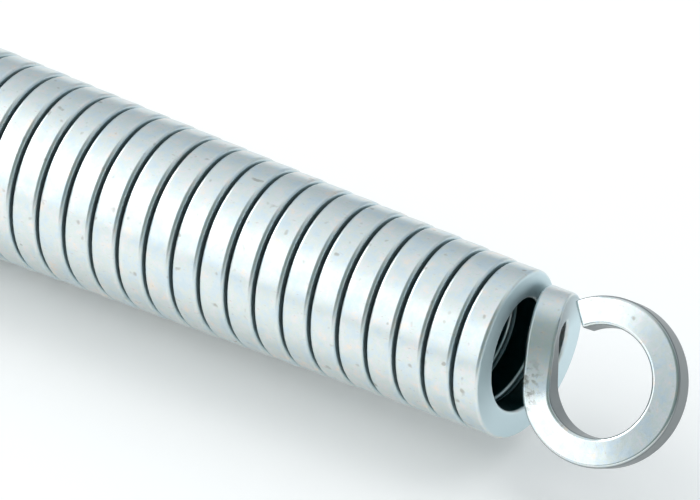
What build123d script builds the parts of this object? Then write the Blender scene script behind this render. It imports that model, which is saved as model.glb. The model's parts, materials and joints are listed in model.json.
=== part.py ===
"""Internal pipe bending spring: one length of square wire, close wound and tapered, with a pull eye.

The spring lies along X on the plane Z = 0, its eye at +X.  The wire winds right-handed.
"""
from build123d import *
from math import cos, pi, radians, sin, tan
import os

# Driving dimensions, in millimetres
wire = 2.65                 # side of the square wire
turn_gap = 0.35             # open gap between neighbouring turns
overall_length = 200.0      # from the cut end of the coil to the outside of the eye
body_diameter = 19.3        # outside of the straight coil
nose_diameter = 15.4        # outside of the last turn, beside the eye
taper_length = 66.0         # length over which the coil narrows to the nose
eye_bore = 9.9              # hole of the eye, for a pull cord or a hook
eye_gap = 0.12              # room between the last turn and the eye
eye_rise = 0.55             # eye's centre above the spring's axis, along the eye's own upright
eye_offset = 2.0            # eye's middle plane in front of the spring's axis

# Driving angles, in degrees
eye_roll = 35.67            # the eye's upright, turned from the vertical about the spring's axis
leave_angle = -50.0         # where the wire leaves the last turn, counted from the eye's upright
stem_slant = 17.0           # lean of the straight stem between the last turn and the eye
eye_end_angle = 129.0       # where the eye's wire is cut off, counted from the spring's axis

# How finely the wire's curves are divided into flats
flats_per_turn = 20
bend_flats = 8

# Sizes that follow from the driving dimensions
pitch = wire + turn_gap
body_radius = (body_diameter - wire) / 2
nose_radius = (nose_diameter - wire) / 2
eye_radius = (eye_bore + wire) / 2
axis_height = body_diameter / 2
eye_reach = eye_radius + wire + eye_gap
eye_x = overall_length / 2 - eye_radius - wire / 2
leave_x = eye_x - eye_reach
coil_length = leave_x - wire / 2 + overall_length / 2
coil_flats = round(coil_length / pitch * flats_per_turn)

# Directions: the eye's upright and the way its open side faces
full_turn = 360.0
quarter_turn = full_turn / 4
along = Vector(1, 0, 0)
upright = Vector(0, sin(radians(eye_roll)), cos(radians(eye_roll)))
facing = along.cross(upright)


def radial(angle):
    """Unit vector square to the spring's axis, at an angle from the eye's upright."""
    return upright * cos(radians(angle)) + facing * sin(radians(angle))


def on_axis(x):
    """Point of the spring's axis."""
    return Vector(x, 0, axis_height)


# The bend turns the wire tighter than the coil does, until it runs down the eye's own plane
leave_sine = sin(radians(leave_angle))
bend_radius = (eye_offset - nose_radius * leave_sine) / (1 - leave_sine)
bend_arc = bend_radius * radians(quarter_turn - leave_angle)
bend_centre = radial(leave_angle) * (nose_radius - bend_radius)

# The stem is a straight run from the end of the bend to the point where it meets the eye's circle
eye_centre = on_axis(eye_x) + upright * eye_rise + facing * eye_offset
stem_way = along * sin(radians(stem_slant)) - upright * cos(radians(stem_slant))
stem_foot = eye_centre + stem_way.cross(facing) * eye_radius
stem_drop = bend_centre.dot(upright) - (stem_foot - on_axis(0)).dot(upright)
stem_length = stem_drop / cos(radians(stem_slant))
stem_top = stem_foot - stem_way * stem_length
foot_plane = Plane(origin=stem_foot, x_dir=facing, z_dir=stem_way)

# Axial advance along the bend: the coil's own lead at its start, the stem's slant at its end
bend_advance = stem_top.X - leave_x
lead_advance = bend_arc * pitch / (2 * pi * nose_radius)
slant_advance = bend_arc * tan(radians(stem_slant))


def coil_plane(back):
    """Plane of the wire's section at a distance back from where the wire leaves the coil."""
    angle = leave_angle - full_turn * back / pitch
    radius = min(nose_radius + (body_radius - nose_radius) * back / taper_length, body_radius)
    place = on_axis(leave_x - back) + radial(angle) * radius
    return Plane(origin=place, x_dir=radial(angle), z_dir=radial(angle + quarter_turn))


def bend_plane(share):
    """Plane of the wire's section at a share of the bend, its X side pointing outwards."""
    angle = leave_angle + share * (quarter_turn - leave_angle)
    advance = (
        bend_advance * share**2 * (3 - 2 * share)
        + lead_advance * share * (1 - share) ** 2
        + slant_advance * share**2 * (share - 1)
    )
    climb = (
        bend_advance * 6 * share * (1 - share)
        + lead_advance * (1 - share) * (1 - 3 * share)
        + slant_advance * share * (3 * share - 2)
    )
    place = on_axis(leave_x + advance) + bend_centre + radial(angle) * bend_radius
    way = radial(angle + quarter_turn) * bend_arc + along * climb
    return Plane(origin=place, x_dir=radial(angle), z_dir=way)


def corners(plane):
    """Corners of the wire's section, with the outward side between the first two."""
    half = wire / 2
    square = ((half, half), (half, -half), (-half, -half), (-half, half))
    return [plane.from_local_coords((x, y, 0)) for x, y in square]


def flat(*points):
    """Flat face with these corners."""
    return Face(Wire.make_polygon(points))


# Sections of the wire from the cut end of the coil to the foot of the stem
planes = [coil_plane(coil_length * step / coil_flats) for step in reversed(range(coil_flats + 1))]
planes += [bend_plane((step + 1) / bend_flats) for step in range(bend_flats)]
planes.append(foot_plane)
sections = [corners(plane) for plane in planes]

# The coil's outer and inner sides are flat from section to section; every other side is twisted,
# so it is folded along a diagonal into two flat faces
skin = [flat(*sections[0]), flat(*sections[-1])]
for step, (here, there) in enumerate(zip(sections, sections[1:])):
    for side in range(4):
        a, b = here[side - 1], here[side]
        c, d = there[side], there[side - 1]
        if step < coil_flats and side % 2:
            skin.append(flat(a, b, c, d))
        else:
            skin += [flat(a, b, c), flat(a, c, d)]
coil_and_stem = Solid(Shell(skin))

with BuildPart() as spring:
    add(coil_and_stem)

    # Eye: an open ring of the same wire, from the foot of the stem to its own cut end
    with BuildSketch(foot_plane):
        Rectangle(wire, wire)
    eye_arc = full_turn / 2 + eye_end_angle - stem_slant
    revolve(axis=Axis(eye_centre, facing), revolution_arc=eye_arc)

os.makedirs("parts", exist_ok=True)
spring.part.label = "bending_spring"
export_step(spring.part, "parts/bending_spring.step")
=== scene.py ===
import json
from collections import namedtuple
from math import cos, pi, radians, sin, tan

import bpy
import numpy as np
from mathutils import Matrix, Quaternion, Vector


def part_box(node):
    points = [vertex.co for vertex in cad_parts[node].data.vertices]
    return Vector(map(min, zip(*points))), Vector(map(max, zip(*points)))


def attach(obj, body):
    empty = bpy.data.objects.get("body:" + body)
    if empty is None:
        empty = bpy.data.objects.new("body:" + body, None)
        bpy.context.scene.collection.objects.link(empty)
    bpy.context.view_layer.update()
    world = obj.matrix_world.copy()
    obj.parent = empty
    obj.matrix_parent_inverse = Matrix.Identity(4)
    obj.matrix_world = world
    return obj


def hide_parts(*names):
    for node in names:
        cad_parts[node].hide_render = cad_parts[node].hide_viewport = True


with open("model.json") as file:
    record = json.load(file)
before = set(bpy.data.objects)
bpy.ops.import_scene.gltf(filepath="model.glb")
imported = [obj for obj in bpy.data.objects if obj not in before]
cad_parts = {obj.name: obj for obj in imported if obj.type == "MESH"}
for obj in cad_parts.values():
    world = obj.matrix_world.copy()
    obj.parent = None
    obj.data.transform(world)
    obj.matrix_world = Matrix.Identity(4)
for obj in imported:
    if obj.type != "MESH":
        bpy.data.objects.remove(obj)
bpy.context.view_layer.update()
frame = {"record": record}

TURN = 2 * pi
QUARTER = pi / 2

# The wire, in metres, as the CAD model has it
WIRE = 0.00265
TURN_GAP = 0.00035
NOSE_DIAMETER = 0.0154
TAPER_LENGTH = 0.066
EYE_GAP = 0.00012
LEAVE_ANGLE = radians(-50.0)
STEM_SLANT = radians(17.0)
EYE_END_ANGLE = radians(129.0)

# What only this finer mesh has: rounded edges, the twist of the stem and the cone of the eye's face
CORNER_RADIUS = 0.00034
CUT_EDGE = 0.00012
STEM_TWIST = radians(16.0)
TWIST_SHARES = (0.45, 0.9)        # shares of the bend between which the twist builds up
STEM_UNTWIST = 0.55               # share of the twist that the stem loses on its way to the eye
EYE_CONE = radians(3.0)
EYE_SETTLE = radians(30.0)        # turn of the eye within which the twist goes over into the cone

# How finely the wire is divided
STEPS_PER_TURN = 60
BEND_STEPS = 32
STEM_STEPS = 5
EYE_STEPS = 89
CORNER_POINTS = 5
CUT_STEPS = 3

# Where the surface changes
RECESS_SHADE_DEPTH = 0.55 * WIRE          # below the coil's outside, where the painted shade is at its darkest
OPEN_TURNS = (1.08, 1.01)         # turns from an end of the coil, within which one side is open
UNSHADED_EDGE_TURNS = (2.6, 2.0)         # turns from the mouth, within which the bore's edges get less painted shade
UNSHADED_EDGE_SHARE = 0.6                # share of the painted shade that is left off there
RECESS_SHADE_TURNS = (0.0, 0.3)          # turns from the mouth over which the painted shade begins
MARKED_STEM = (0.3, 1.0)          # shares of the stem over which the tool marks begin
MARKED_EYE = (radians(32.0), radians(12.0))

# The zinc: grains to the metre of what varies over it, its colours and its roughness
CLOUD_SCALE = 650.0
SPECK_SCALE = 1000.0
MARK_SCALE = 1600.0
DENT_SCALE = 420.0
STREAK_SCALE = (5000.0, 350.0, 1.0)
CLOUD_STOPS = (
    (0.3, (0.69, 0.80, 0.85)), (0.43, (0.75, 0.83, 0.865)), (0.5, (0.785, 0.84, 0.8)),
    (0.57, (0.815, 0.845, 0.86)), (0.68, (0.92, 0.85, 0.76)))
SPECK_COLOR = (0.4, 0.37, 0.32)
STREAK_COLOR = (0.6, 0.53, 0.5)
MARK_COLOR = (0.26, 0.25, 0.21)
# Painted on the dull sides: a bluish reflection on the coil's forward side, and dark shade on the eye's
# sides
COIL_SIDE_REFLECTION_COLOR = (0.72, 0.85, 0.89)
EYE_SIDE_SHADE_COLOR = (0.2, 0.22, 0.225)
# Painted shade: the dark teal laid deep in the gaps and in the bore
RECESS_SHADE_COLOR = (0.02, 0.12, 0.135)
COIL_ROUGHNESS = 0.33
EYE_ROUGHNESS = 0.16
DULL_ROUGHNESS = 0.18             # added on the dull sides
DENT_DEPTH = 0.000012

# The studio: floor, room and camera
FLOOR_SIZE = 6.0
FLOOR_COLOR = (0.97, 0.955, 0.95, 1.0)
FLOOR_LIFT = 0.11                 # white that the floor adds to what is seen of it
ROOM_STOPS = (
    (0.0, (0.27, 0.31, 0.33)), (0.5, (0.38, 0.43, 0.46)), (0.7, (0.5, 0.56, 0.6)),
    (0.92, (0.78, 0.83, 0.86)))
DIM_COLOR = (0.22, 0.28, 0.275)
CAMERA_PLACE = (0.16971, -0.28026, 0.23610)    # from the middle of the coil's mouth
CAMERA_WAY = (-0.4605, 0.6841, -0.5657)
CAMERA_SENSOR = 36.0
CAMERA_LENS = 231.6
CAMERA_NEAR = 0.01

# Sizes and directions that follow, with what the frame gives
cut_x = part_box("bending_spring")[0].x
mounts = {mount["name"]: mount for mount in frame["record"]["mounts"]}
eye = mounts["eye"]
body_diameter = 2 * mounts["coil"]["dims"]["r_mm"] / 1000
eye_radius = eye["dims"]["r_mm"] / 1000 + WIRE / 2
pitch = WIRE + TURN_GAP
body_radius = (body_diameter - WIRE) / 2
nose_radius = (NOSE_DIAMETER - WIRE) / 2
along = np.array((1.0, 0.0, 0.0))
facing = np.array(eye["axis"], dtype=float)
facing /= np.linalg.norm(facing)
upright = np.cross(facing, along)
axis_point = np.array((0.0, 0.0, body_diameter / 2))
eye_centre = np.array(eye["pos_m"], dtype=float)
eye_offset = (eye_centre - axis_point) @ facing
leave_x = eye_centre[0] - eye_radius - WIRE - EYE_GAP
mouth = axis_point + along * leave_x

# The wire point by point: its place, direction and outward side, the distance behind the coil's mouth,
# the shares of the bend and of the eye's settling that lie behind it, and the strength of the tool marks
Path = namedtuple("Path", "points ways sides behind past settled marked")


def unit(v):
    """Vectors of length 1."""
    return v / np.linalg.norm(v, axis=-1, keepdims=True)


def smooth(start, end, value):
    """0 at the first limit, 1 at the second, eased in between."""
    share = np.clip((value - start) / (end - start), 0.0, 1.0)
    return share * share * (3 - 2 * share)


def radial(angle):
    """Unit vectors square to the spring's axis, at angles from the eye's upright."""
    angle = np.asarray(angle)[..., None]
    return np.cos(angle) * upright + np.sin(angle) * facing


# The bend turns tighter than the coil, and the stem is straight from its end to the eye's circle
leave_sine = sin(LEAVE_ANGLE)
bend_radius = (eye_offset - nose_radius * leave_sine) / (1 - leave_sine)
bend_sweep = QUARTER - LEAVE_ANGLE
bend_arc = bend_radius * bend_sweep
bend_centre = radial(LEAVE_ANGLE) * (nose_radius - bend_radius)
stem_way = along * sin(STEM_SLANT) - upright * cos(STEM_SLANT)
eye_start = np.cross(stem_way, facing)
stem_foot = eye_centre + eye_start * eye_radius
stem_drop = (bend_centre - stem_foot + axis_point) @ upright
stem_top = stem_foot - stem_way * stem_drop / cos(STEM_SLANT)


def coil_run():
    """Coil from its cut end: points, directions, outward sides, and distances behind its mouth."""
    steps = int((leave_x - cut_x) / pitch * STEPS_PER_TURN)
    behind = np.linspace(leave_x - cut_x - WIRE / 2, 0.0, steps)
    angle = LEAVE_ANGLE - TURN * behind / pitch
    radius = np.minimum(nose_radius + (body_radius - nose_radius) * behind / TAPER_LENGTH, body_radius)
    points = axis_point + np.outer(leave_x - behind, along) + radial(angle) * radius[:, None]
    ways = radial(angle + QUARTER) * radius[:, None] + along * pitch / TURN
    return points, ways, radial(angle), behind


def bend_run():
    """Bend into the eye's plane: points, directions, outward sides, and shares of the bend."""
    s = np.linspace(0.0, 1.0, BEND_STEPS + 1)[1:]
    # Axial advance: the coil's own lead at its start, the stem's slant at its end
    run = stem_top[0] - leave_x
    lead = bend_arc * pitch / (TURN * nose_radius)
    slant = bend_arc * tan(STEM_SLANT)
    advance = run * s**2 * (3 - 2 * s) + lead * s * (1 - s)**2 + slant * s**2 * (s - 1)
    climb = run * 6 * s * (1 - s) + lead * (1 - s) * (1 - 3 * s) + slant * s * (3 * s - 2)
    angle = LEAVE_ANGLE + s * bend_sweep
    points = axis_point + np.outer(leave_x + advance, along) + bend_centre + radial(angle) * bend_radius
    ways = radial(angle + QUARTER) * bend_arc + np.outer(climb, along)
    return points, ways, radial(angle), s


def stem_run():
    """Straight stem: points, directions, outward sides, and shares of its length."""
    share = np.linspace(0.0, 1.0, STEM_STEPS + 1)[1:]
    points = stem_top + np.outer(share, stem_foot - stem_top)
    return points, np.tile(stem_way, (STEM_STEPS, 1)), np.tile(facing, (STEM_STEPS, 1)), share


def eye_run():
    """Open ring of the eye: points, directions, outward sides, and angles from the foot of the stem."""
    turned = np.linspace(0.0, pi + EYE_END_ANGLE - STEM_SLANT, EYE_STEPS + 1)[1:]
    spokes = np.outer(np.cos(turned), eye_start) + np.outer(np.sin(turned), stem_way)
    ways = np.outer(np.cos(turned), stem_way) - np.outer(np.sin(turned), eye_start)
    return eye_centre + spokes * eye_radius, ways, np.tile(facing, (EYE_STEPS, 1)), turned


def wire_path():
    """The whole wire, from the coil's cut end to the eye's free end."""
    points, ways, sides, runs = zip(coil_run(), bend_run(), stem_run(), eye_run())
    behind, bent, straight, turned = runs

    def joined(*values):
        return np.concatenate([np.broadcast_to(value, len(run)) for run, value in zip(runs, values)])

    ways = unit(np.vstack(ways))
    sides = np.vstack(sides)
    sides = unit(sides - ways * np.sum(sides * ways, axis=1, keepdims=True))
    settled = smooth(0.0, EYE_SETTLE, turned)
    twist = joined(
        0.0,
        STEM_TWIST * smooth(*TWIST_SHARES, bent),
        STEM_TWIST * (1 - STEM_UNTWIST * straight),
        STEM_TWIST * (1 - STEM_UNTWIST) * (1 - settled) - EYE_CONE * settled)[:, None]
    sides = sides * np.cos(twist) - np.cross(ways, sides) * np.sin(twist)
    return Path(
        np.vstack(points), ways, sides,
        behind=joined(behind, 0.0, 0.0, 0.0),
        past=joined(0.0, bent, 1.0, 1.0),
        settled=joined(0.0, 0.0, 0.0, settled),
        marked=joined(0.0, 0.0, smooth(*MARKED_STEM, straight), smooth(*MARKED_EYE, turned)))


def section(inset):
    """Rounded square across the wire: offsets and normals in the outward and backward directions."""
    half = WIRE / 2 - CORNER_RADIUS
    offsets, normals = [], []
    for corner, signs in enumerate(((1, 1), (-1, 1), (-1, -1), (1, -1))):
        for step in range(CORNER_POINTS):
            angle = QUARTER * (corner + step / (CORNER_POINTS - 1))
            normal = np.array((cos(angle), sin(angle)))
            offsets.append(half * np.array(signs) + normal * (CORNER_RADIUS - inset))
            normals.append(normal)
    return np.array(offsets), np.array(normals)


def sections_along(length):
    """Where the sections lie: a point's number, and the inset, shift and lean that round a cut edge."""
    last = len(length) - 1
    angles = [QUARTER * step / CUT_STEPS for step in range(CUT_STEPS, 0, -1)]

    def rounded(point, angle, end):
        return point, CUT_EDGE * (1 - cos(angle)), -end * CUT_EDGE * (1 - sin(angle)), end * sin(angle)

    inner = [point for point in range(last) if CUT_EDGE < length[point] < length[last] - CUT_EDGE]
    first_edge = [rounded(0, angle, -1) for angle in angles]
    last_edge = [rounded(last, angle, 1) for angle in reversed(angles)]
    return first_edge + [(point, 0.0, 0.0, 0.0) for point in inner] + last_edge


def surface(path, numbers):
    """What the material reads at each vertex of the sections at these points of the wire.

    outward and backward are the parts of the section's normal: 1 or -1 on a flat side, less on a corner.
    """
    plain, normal = section(0.0)
    count = len(numbers)
    outward, backward = np.tile(normal, (count, 1)).T
    depth = WIRE / 2 - np.tile(plain[:, 0], count)
    left = np.tile(plain[:, 1], count) * 2 / WIRE
    behind, past, settled, marked = (
        np.repeat(values[numbers], len(plain))
        for values in (path.behind, path.past, path.settled, path.marked))
    from_mouth = behind / pitch
    from_cut = from_mouth.max() - from_mouth

    # Painted shade lies deep in the gaps and in the bore; the open sides of the end turns are left unshaded
    mouth_side = smooth(*OPEN_TURNS, from_mouth) * smooth(0.0, -0.3, backward)
    cut_side = smooth(*OPEN_TURNS, from_cut) * smooth(0.0, 0.3, backward)
    open_side = (mouth_side + cut_side) * smooth(-0.95, -0.5, outward)
    bore_edge = np.clip(-2 * outward, 0, 1) * np.clip(-2 * backward, 0, 1)
    unshaded_edge = UNSHADED_EDGE_SHARE * bore_edge * smooth(*UNSHADED_EDGE_TURNS, from_mouth)
    recess_shade = smooth(0.0, RECESS_SHADE_DEPTH, depth) * (1 - open_side) * (1 - unshaded_edge) * smooth(*RECESS_SHADE_TURNS, from_mouth)

    # The coil's forward side is dull and gets a painted bluish reflection; the eye's inner and outer sides
    # are dull too and get a painted dark shade
    forward_or_inner = smooth(0.75, 1.0, -backward)
    eye_outer = smooth(0.4, 0.97, backward) * settled

    # A tool has marked the left of the stem's front
    front_left = smooth(-0.6, 0.7, left) * smooth(0.0, 0.5, outward)
    return {
        "recess_shade": recess_shade, "dull_and_shaded_side": forward_or_inner + eye_outer, "eye": past, "polish": settled,
        "scuff": marked * front_left}


def make_wire():
    """The spring's wire as one closed mesh."""
    path = wire_path()
    across = np.cross(path.ways, path.sides)
    length = np.concatenate(((0.0,), np.cumsum(np.linalg.norm(np.diff(path.points, axis=0), axis=1))))
    plain, normal = section(0.0)
    around = len(plain)
    vertices, normals, numbers, run = [], [], [], []
    for point, inset, shift, lean in sections_along(length):
        offsets, _ = section(inset)
        side, other, way = path.sides[point], across[point], path.ways[point]
        vertices.append(path.points[point] + way * shift + offsets[:, :1] * side + offsets[:, 1:] * other)
        level = normal[:, :1] * side + normal[:, 1:] * other
        normals.append(unit(level * (1 - lean * lean) ** 0.5 + way * lean))
        numbers.append(point)
        run.append(length[point] + shift)

    # The caps have vertices of their own, so that they are shaded flat
    count = len(numbers)
    for end, way in ((0, -path.ways[0]), (count - 1, path.ways[-1])):
        vertices.append(vertices[end])
        normals.append(np.tile(way, (around, 1)))
        numbers.append(numbers[end])
        run.append(run[end])

    faces = []
    for ring in range(count - 1):
        a, b = ring * around, (ring + 1) * around
        for k in range(around):
            m = (k + 1) % around
            faces.append((a + k, a + m, b + m, b + k))
    first_cap, last_cap = count * around, (count + 1) * around
    faces.append(tuple(first_cap + k for k in reversed(range(around))))
    faces.append(tuple(last_cap + k for k in range(around)))
    mesh = bpy.data.meshes.new("spring_wire")
    mesh.from_pydata(np.vstack(vertices).tolist(), [], faces)

    edge = np.concatenate(((0.0,), np.cumsum(np.linalg.norm(np.diff(plain, axis=0), axis=1))))
    laid_out = np.column_stack((np.repeat(run, around), np.tile(edge, len(numbers))))
    loop_vertex = np.zeros(len(mesh.loops), dtype=np.int32)
    mesh.loops.foreach_get("vertex_index", loop_vertex)
    uv = mesh.uv_layers.new(name="wire")
    uv.data.foreach_set("uv", laid_out[loop_vertex].astype(np.float32).ravel())
    for name, values in surface(path, numbers).items():
        layer = mesh.attributes.new(name, "FLOAT", "POINT")
        layer.data.foreach_set("value", values.astype(np.float32))
    mesh.polygons.foreach_set("use_smooth", [True] * len(mesh.polygons))
    mesh.normals_split_custom_set_from_vertices(np.vstack(normals).tolist())
    mesh.update()
    made = bpy.data.objects.new("spring_wire", mesh)
    bpy.context.collection.objects.link(made)
    return made


def node(tree, kind, **sockets):
    """Shader node with values on its sockets."""
    made = tree.nodes.new(kind)
    for name, value in sockets.items():
        made.inputs[name.replace("_", " ")].default_value = value
    return made


def feed(tree, socket, value):
    """Link an output to a socket, or set a colour or a number on it."""
    if isinstance(value, bpy.types.NodeSocket):
        tree.links.new(value, socket)
    elif isinstance(value, tuple):
        socket.default_value = (*value, 1.0)
    else:
        socket.default_value = value


def ramp(tree, value, *stops):
    """Colour at a value, from stops of position and colour."""
    made = tree.nodes.new("ShaderNodeValToRGB")
    elements = made.color_ramp.elements
    while len(elements) < len(stops):
        elements.new(0.5)
    for element, (position, color) in zip(elements, stops):
        element.position = position
        element.color = (*color, 1.0)
    tree.links.new(value, made.inputs["Fac"])
    return made.outputs["Color"]


def mask(tree, value, start, full, strength):
    """Black up to the start, and grey of this strength from where the mask is full."""
    return ramp(tree, value, (start, (0.0, 0.0, 0.0)), (full, (strength, strength, strength)))


def mix(tree, kind, factor, first, second):
    """Two colours, mixed or multiplied."""
    made = tree.nodes.new("ShaderNodeMix")
    made.data_type = "RGBA"
    made.blend_type = kind
    for socket, value in zip((made.inputs[0], made.inputs[6], made.inputs[7]), (factor, first, second)):
        feed(tree, socket, value)
    return made.outputs[2]


def noise(tree, vector, scale, detail, roughness):
    """Noise with so many grains to the unit of a vector."""
    made = node(tree, "ShaderNodeTexNoise", Scale=scale, Detail=detail, Roughness=roughness)
    tree.links.new(vector, made.inputs["Vector"])
    return made.outputs["Fac"]


def attribute(tree, name):
    """One of the values that surface() gives each vertex."""
    made = tree.nodes.new("ShaderNodeAttribute")
    made.attribute_name = name
    return made.outputs["Fac"]


def map_range(tree, value, kind, **limits):
    """Value carried from one range to another, evenly or eased."""
    made = node(tree, "ShaderNodeMapRange", **limits)
    made.interpolation_type = kind
    tree.links.new(value, made.inputs["Value"])
    return made.outputs["Result"]


def calculate(tree, kind, *values):
    """Result of a sum with these values."""
    made = tree.nodes.new("ShaderNodeMath")
    made.operation = kind
    for socket, value in zip(made.inputs, values):
        feed(tree, socket, value)
    return made.outputs["Value"]


def zinc():
    """Bright zinc plate: clouded, specked and streaked, marked on the stem, with painted shade in the gaps
    and the bore, and a painted reflection and shade on its dull sides.
    """
    material = bpy.data.materials.new("zinc")
    material.use_nodes = True
    tree = material.node_tree
    link = tree.links.new
    shader = tree.nodes["Principled BSDF"]
    shader.inputs["Metallic"].default_value = 1.0
    coordinates = node(tree, "ShaderNodeTexCoord").outputs
    place = coordinates["Object"]

    color = ramp(tree, noise(tree, place, CLOUD_SCALE, detail=4.0, roughness=0.7), *CLOUD_STOPS)

    grains = noise(tree, place, SPECK_SCALE, detail=1.0, roughness=0.4)
    specks = mask(tree, grains, start=0.7, full=0.79, strength=0.65)
    color = mix(tree, "MIX", specks, color, SPECK_COLOR)

    # Streaks run across the wire, so they are fine along it
    stretched = node(tree, "ShaderNodeMapping", Scale=STREAK_SCALE)
    link(coordinates["UV"], stretched.inputs["Vector"])
    lines = noise(tree, stretched.outputs["Vector"], scale=1.0, detail=2.0, roughness=0.5)
    streaks = mask(tree, lines, start=0.65, full=0.77, strength=0.5)
    color = mix(tree, "MIX", streaks, color, STREAK_COLOR)

    scratches = noise(tree, place, MARK_SCALE, detail=3.0, roughness=0.6)
    marks = mask(tree, scratches, start=0.5, full=0.62, strength=0.85)
    marks = mix(tree, "MULTIPLY", 1.0, marks, attribute(tree, "scuff"))
    color = mix(tree, "MIX", marks, color, MARK_COLOR)

    dull_and_shaded_side = attribute(tree, "dull_and_shaded_side")
    # Painted reflection and shade on the dull sides, darkest on the eye
    side = mix(tree, "MIX", attribute(tree, "eye"), COIL_SIDE_REFLECTION_COLOR, EYE_SIDE_SHADE_COLOR)
    color = mix(tree, "MIX", dull_and_shaded_side, color, side)
    # Painted shade deep in the gaps and in the bore
    color = mix(tree, "MIX", attribute(tree, "recess_shade"), color, RECESS_SHADE_COLOR)
    link(color, shader.inputs["Base Color"])

    polish = attribute(tree, "polish")
    rough = map_range(tree, polish, "LINEAR", To_Min=COIL_ROUGHNESS, To_Max=EYE_ROUGHNESS)
    link(calculate(tree, "MULTIPLY_ADD", dull_and_shaded_side, DULL_ROUGHNESS, rough), shader.inputs["Roughness"])

    dents = node(tree, "ShaderNodeBump", Strength=1.0, Distance=DENT_DEPTH)
    link(noise(tree, place, DENT_SCALE, detail=2.0, roughness=0.5), dents.inputs["Height"])
    link(dents.outputs["Normal"], shader.inputs["Normal"])
    return material


def floor():
    """Pale matt floor, which looks a little lighter to the camera and in the metal."""
    bpy.ops.mesh.primitive_plane_add(size=FLOOR_SIZE, location=(0, 0, 0))
    plane = bpy.context.object
    plane.name = "floor"
    material = bpy.data.materials.new("floor")
    material.use_nodes = True
    tree = material.node_tree
    shader = tree.nodes["Principled BSDF"]
    shader.inputs["Base Color"].default_value = FLOOR_COLOR
    shader.inputs["Roughness"].default_value = 1.0
    shader.inputs["Specular IOR Level"].default_value = 0.0
    shader.inputs["Emission Color"].default_value = (FLOOR_LIFT, FLOOR_LIFT, FLOOR_LIFT, 1)
    path = tree.nodes.new("ShaderNodeLightPath")
    seen = path.outputs["Is Camera Ray"]
    for ray in ("Is Glossy Ray", "Is Transmission Ray"):
        seen = calculate(tree, "MAXIMUM", seen, path.outputs[ray])
    tree.links.new(seen, shader.inputs["Emission Strength"])
    plane.data.materials.append(material)


def softbox(name, place, target, width, height, radiance, roll=0.0, mirrored=True):
    """Rectangular lamp of a given radiance, which may be kept out of what the metal mirrors."""
    light = bpy.data.lights.new(name, "AREA")
    light.shape = "RECTANGLE"
    light.size, light.size_y = width, height
    light.energy = radiance * pi * width * height
    lamp = bpy.data.objects.new(name, light)
    lamp.location = place
    lamp.visible_glossy = mirrored
    aim = (Vector(target) - Vector(place)).to_track_quat("-Z", "Y")
    lamp.rotation_euler = (aim @ Quaternion((0, 0, 1), roll)).to_euler()
    bpy.context.collection.objects.link(lamp)


def studio():
    """Room light: brightest above, and dim in front on the right."""
    world = bpy.data.worlds.new("studio")
    bpy.context.scene.world = world
    world.use_nodes = True
    tree = world.node_tree
    way = tree.nodes.new("ShaderNodeSeparateXYZ")
    tree.links.new(node(tree, "ShaderNodeTexCoord").outputs["Generated"], way.inputs[0])
    height = map_range(tree, way.outputs["Z"], "LINEAR", From_Min=-1.0)
    right = map_range(tree, way.outputs["X"], "SMOOTHSTEP", From_Min=-0.4, From_Max=0.15)
    front = map_range(tree, way.outputs["Y"], "SMOOTHSTEP", From_Min=0.5, From_Max=-0.1)
    dim = calculate(tree, "MULTIPLY", right, front)
    shade = mix(tree, "MIX", dim, ramp(tree, height, *ROOM_STOPS), DIM_COLOR)
    tree.links.new(shade, tree.nodes["Background"].inputs["Color"])


wire = make_wire()
wire.data.materials.append(zinc())
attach(wire, "root")
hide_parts("bending_spring")

floor()
studio()
softbox(
    "key", place=(eye_centre[0] - 0.250, -0.2735, 0.17), target=(eye_centre[0] - 0.075, -0.0335, 0.025),
    width=0.24, height=0.31, radiance=0.88, roll=radians(26.0))
softbox("left", place=(-0.7, -0.1, 0.5), target=(0.04, 0, 0.01), width=0.7, height=0.5, radiance=3.0)
softbox(
    "back", place=(0.3, 0.5, 0.8), target=(0.05, 0, 0.01), width=1.0, height=1.0, radiance=0.95,
    mirrored=False)

camera = bpy.data.cameras.new("photo_view")
camera.sensor_fit = "HORIZONTAL"
camera.sensor_width = CAMERA_SENSOR
camera.lens = CAMERA_LENS
camera.clip_start = CAMERA_NEAR
eyepoint = bpy.data.objects.new("photo_view", camera)
eyepoint.location = Vector(mouth + CAMERA_PLACE)
eyepoint.rotation_euler = Vector(CAMERA_WAY).to_track_quat("-Z", "Y").to_euler()
bpy.context.collection.objects.link(eyepoint)
bpy.context.scene.camera = eyepoint

bpy.context.scene.view_settings.view_transform = "Standard"
